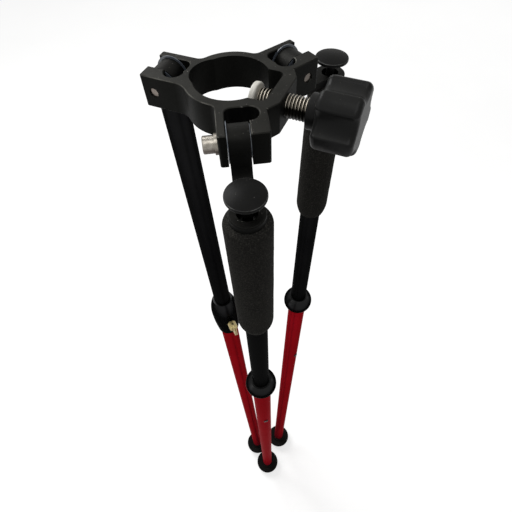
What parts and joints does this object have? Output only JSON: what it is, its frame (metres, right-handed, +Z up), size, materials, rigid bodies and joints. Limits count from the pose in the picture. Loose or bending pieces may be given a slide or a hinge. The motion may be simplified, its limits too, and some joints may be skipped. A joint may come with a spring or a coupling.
{
  "type": "pole tripod",
  "caption": "Folding telescopic tripod with a forked head that clamps a surveying pole, thumb-release legs with foam grips, a thumb-screw leg and pointed feet.",
  "frame": {"origin": "axis of a 32 mm pole in the head's seat, in the middle of the head's thickness and level with the hinge pins", "axes": "+Z up along the pole, -Y towards the front leg, clamp knob towards +X and -Y"},
  "size_m": [0.1395, 0.1509, 1.1339],
  "materials": {
    "head_black": "satin black anodised",
    "tube_black": "gloss black anodised",
    "tube_red": "gloss red anodised",
    "bare_aluminium": "satin",
    "stainless": "satin",
    "rivet_dark": "satin",
    "brass": "satin",
    "nylon": "satin",
    "knob_black": "satin",
    "button_black": "satin",
    "collar_black": "satin",
    "foam": "matte",
    "foot_rubber": "matte"
  },
  "bodies": {
    "head": {"head": "head_black", "hinge_bolts": "stainless", "bolt_washers": "stainless"},
    "clamp_pad": {"clamp_pad": "nylon"},
    "clamp_screw": {"clamp_screw": "stainless", "clamp_knob": "knob_black"},
    "leg_front": {"front_bracket": "head_black", "front_hinge_washers": "nylon", "front_upper_tube": "tube_black", "front_grip": "foam", "front_top_bush": "collar_black", "front_spring_seat": "collar_black", "front_spring": "stainless", "front_lock_collet": "collar_black"},
    "button_front": {"front_button": "button_black", "front_release_rod": "bare_aluminium", "front_lock_cone": "brass"},
    "lower_front": {"front_collar": "collar_black", "front_lower_tube": "tube_red", "front_stop_rivet": "rivet_dark", "front_foot": "foot_rubber", "front_point": "stainless"},
    "leg_right": {"right_bracket": "head_black", "right_hinge_washers": "nylon", "right_upper_tube": "tube_black", "right_grip": "foam", "right_top_bush": "collar_black", "right_spring_seat": "collar_black", "right_spring": "stainless", "right_lock_collet": "collar_black"},
    "button_right": {"right_button": "button_black", "right_release_rod": "bare_aluminium", "right_lock_cone": "brass"},
    "lower_right": {"right_collar": "collar_black", "right_lower_tube": "tube_red", "right_stop_rivet": "rivet_dark", "right_foot": "foot_rubber", "right_point": "stainless"},
    "leg_left": {"left_hinge_plug": "head_black", "left_hinge_washers": "nylon", "left_upper_tube": "tube_black", "left_slide_guide": "collar_black"},
    "lower_left": {"left_collar": "collar_black", "left_lower_tube": "tube_red", "left_foot": "foot_rubber", "left_point": "stainless"},
    "brake_plug": {"brake_plug": "nylon"},
    "thumb_screw": {"thumb_screw": "brass"}
  },
  "joints": [
    {"name": "clamp_pad_slide", "type": "slide", "parent": "head", "child": "clamp_pad", "axis": [-0.866, 0.5, 0], "range_m": [-0.0096, 0.0129]},
    {"name": "clamp_screw_turn", "type": "hinge", "parent": "clamp_pad", "child": "clamp_screw", "pos_m": [0.00901, -0.0052, 0], "axis": [-0.866, 0.5, 0], "range_deg": [-1710, 2310]},
    {"name": "front_leg_swing", "type": "hinge", "parent": "head", "child": "leg_front", "pos_m": [0.00901, -0.0508, 0], "axis": [-1, 0, 0], "range_deg": [0, 30]},
    {"name": "front_leg_extend", "type": "slide", "parent": "leg_front", "child": "lower_front", "axis": [0, 0.0401, -0.9992], "range_m": [0, 0.55]},
    {"name": "right_leg_swing", "type": "hinge", "parent": "head", "child": "leg_right", "pos_m": [0.0485, 0.0176, 0], "axis": [0.5, -0.866, 0], "range_deg": [0, 30]},
    {"name": "right_leg_extend", "type": "slide", "parent": "leg_right", "child": "lower_right", "axis": [-0.0302, -0.0174, -0.9994], "range_m": [0, 0.55]},
    {"name": "left_leg_swing", "type": "hinge", "parent": "head", "child": "leg_left", "pos_m": [-0.03048, 0.0176, 0], "axis": [0.5, 0.866, 0], "range_deg": [0, 30]},
    {"name": "left_leg_extend", "type": "slide", "parent": "leg_left", "child": "lower_left", "axis": [0.0166, -0.0096, -0.9998], "range_m": [0, 0.55]},
    {"name": "front_button_press", "type": "slide", "parent": "leg_front", "child": "button_front", "axis": [0, 0.0401, -0.9992], "range_m": [0, 0.008], "stiffness_N_per_m": 500, "springref_m": -0.006, "deforming": ["front_spring"]},
    {"name": "right_button_press", "type": "slide", "parent": "leg_right", "child": "button_right", "axis": [-0.0302, -0.0174, -0.9994], "range_m": [0, 0.008], "stiffness_N_per_m": 500, "springref_m": -0.006, "deforming": ["right_spring"]},
    {"name": "brake_plug_slide", "type": "slide", "parent": "lower_left", "child": "brake_plug", "axis": [-0.3419, 0.9396, -0.0147], "range_m": [-0.0031, 0]},
    {"name": "thumb_screw_turn", "type": "hinge", "parent": "brake_plug", "child": "thumb_screw", "pos_m": [-0.02523, 0.01456, -0.31615], "axis": [-0.3419, 0.9396, -0.0147], "range_deg": [-1080, 0]}
  ],
  "couplings": [
    {"joint": "clamp_pad_slide", "follows": "clamp_screw_turn", "m_per_rad": 0.00031831},
    {"joint": "brake_plug_slide", "follows": "thumb_screw_turn", "m_per_rad": 0.00015915}
  ]
}
